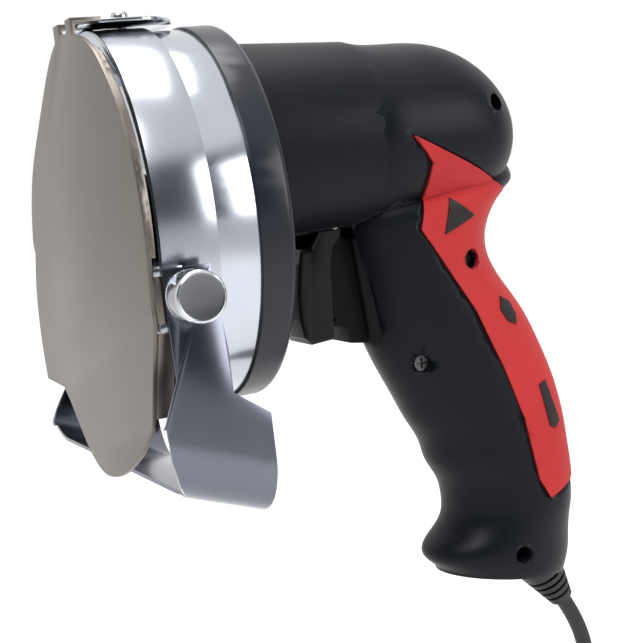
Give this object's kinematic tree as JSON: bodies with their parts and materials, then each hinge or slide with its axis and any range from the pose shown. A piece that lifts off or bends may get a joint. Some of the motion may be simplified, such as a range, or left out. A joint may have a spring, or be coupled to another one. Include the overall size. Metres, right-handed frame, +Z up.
{
  "type": "electric meat slicer",
  "caption": "Hand-held electric slicer: round blade in a steel drum, hinged guide plate, clamped slice guard, pistol grip with trigger and mains lead.",
  "frame": {"origin": "middle of the pistol grip, where the hand closes, on the plane between the two shells", "axes": "+X to the rear, away from the blade; +Z up; the blade faces -X; the left side with the guide hinge is -Y"},
  "size_m": [0.1886, 0.1422, 0.478],
  "materials": {
    "shell_black": "fine satin grain, black",
    "grip_red": "soft satin, red",
    "grip_dark": "soft satin, dark grey",
    "screw_steel": "zinc plated",
    "cover_black": "black satin coat",
    "steel_polished": "polished stainless sheet",
    "steel_plate": "polished stainless sheet",
    "drum_alloy": "turned and polished",
    "blade_steel": "ground cutting steel",
    "gear_steel": "oiled",
    "bearing_steel": "ground",
    "motor_steel": "zinc plated",
    "magnet": "sintered ferrite",
    "lamination": "varnished lamination",
    "copper": "bare copper",
    "carbon": "carbon",
    "inner_plastic": "plain moulded",
    "knob_steel": "knurled rim, polished face",
    "trigger_plastic": "satin, dark olive brown",
    "boot_rubber": "matt black rubber",
    "spring_steel": "spring wire",
    "cord_rubber": "matt black sheath",
    "tie_plastic": "matt black",
    "plug_plastic": "matt black",
    "plug_pin": "nickel plated brass"
  },
  "bodies": {
    "tool_body": {"blade_band": "steel_polished", "carbon_brushes": "carbon", "cord_hank": "cord_rubber", "cord_tie": "tie_plastic", "drum": "drum_alloy", "drum_screws": "screw_steel", "flange_screws": "screw_steel", "gearbox_cover": "cover_black", "grip_inlays_left": "grip_dark", "grip_inlays_right": "grip_dark", "grip_insert_left": "grip_red", "grip_insert_right": "grip_red", "hinge_bracket": "steel_polished", "hinge_pin": "screw_steel", "housing_left": "shell_black", "housing_right": "shell_black", "housing_screws": "screw_steel", "internal_leads": "cord_rubber", "knob_studs": "steel_polished", "knob_washer_left": "screw_steel", "knob_washer_right": "screw_steel", "mains_cord": "cord_rubber", "mains_plug": "plug_plastic", "motor_bearings": "bearing_steel", "motor_can": "motor_steel", "motor_end_plate": "motor_steel", "motor_magnets": "magnet", "plug_lead": "cord_rubber", "plug_pins": "plug_pin", "spindle_bearing_front": "bearing_steel", "spindle_bearing_rear": "bearing_steel", "strain_relief": "boot_rubber", "strap_screw": "screw_steel", "strap_washer": "screw_steel", "suppression_capacitor": "inner_plastic", "switch_body": "inner_plastic", "trigger_boot": "boot_rubber", "trigger_pin": "screw_steel", "trigger_spring": "spring_steel"},
    "blade_unit": {"blade": "blade_steel", "blade_hub": "drum_alloy", "blade_nut": "screw_steel", "spindle": "gear_steel", "drive_gear": "gear_steel"},
    "rotor": {"motor_shaft": "gear_steel", "armature": "lamination", "commutator": "copper", "motor_pinion": "gear_steel", "cooling_fan": "inner_plastic"},
    "trigger_unit": {"trigger": "trigger_plastic"},
    "plunger": {"switch_plunger": "inner_plastic"},
    "guide": {"guide_plate": "steel_plate", "top_strap": "steel_polished"},
    "guard": {"slice_guard": "steel_polished"},
    "knob_left": {"clamp_knob_left": "knob_steel"},
    "knob_right": {"clamp_knob_right": "knob_steel"}
  },
  "joints": [
    {"name": "blade_spin", "type": "hinge", "parent": "tool_body", "child": "blade_unit", "pos_m": [-0.11, 0, 0.078], "axis": [1, 0, 0], "continuous": true},
    {"name": "rotor_spin", "type": "hinge", "parent": "tool_body", "child": "rotor", "pos_m": [-0.05, 0, 0.097], "axis": [1, 0, 0], "continuous": true},
    {"name": "trigger_press", "type": "hinge", "parent": "tool_body", "child": "trigger_unit", "pos_m": [-0.05, 0, 0.0705], "axis": [0, -1, 0], "range_deg": [0, 8], "stiffness_Nm_per_rad": 0.4, "springref_deg": -8.59},
    {"name": "plunger_slide", "type": "slide", "parent": "tool_body", "child": "plunger", "axis": [1, 0, 0], "range_m": [0, 0.003]},
    {"name": "guide_swing", "type": "hinge", "parent": "tool_body", "child": "guide", "pos_m": [-0.1203, -0.0574, 0.059], "axis": [0, 0, 1], "range_deg": [-4.5, 0]},
    {"name": "guard_tilt", "type": "hinge", "parent": "tool_body", "child": "guard", "pos_m": [-0.1133, 0, 0.0594], "axis": [0, -1, 0], "range_deg": [0, 20]},
    {"name": "knob_left_turn", "type": "hinge", "parent": "tool_body", "child": "knob_left", "pos_m": [-0.1133, -0.0665, 0.0594], "axis": [0, -1, 0], "range_deg": [0, 360]},
    {"name": "knob_right_turn", "type": "hinge", "parent": "tool_body", "child": "knob_right", "pos_m": [-0.1133, 0.0665, 0.0594], "axis": [0, 1, 0], "range_deg": [0, 360]}
  ],
  "couplings": [
    {"joint": "rotor_spin", "follows": "blade_spin", "ratio": -3.2222},
    {"joint": "plunger_slide", "follows": "trigger_press", "m_per_rad": 0.0185}
  ]
}
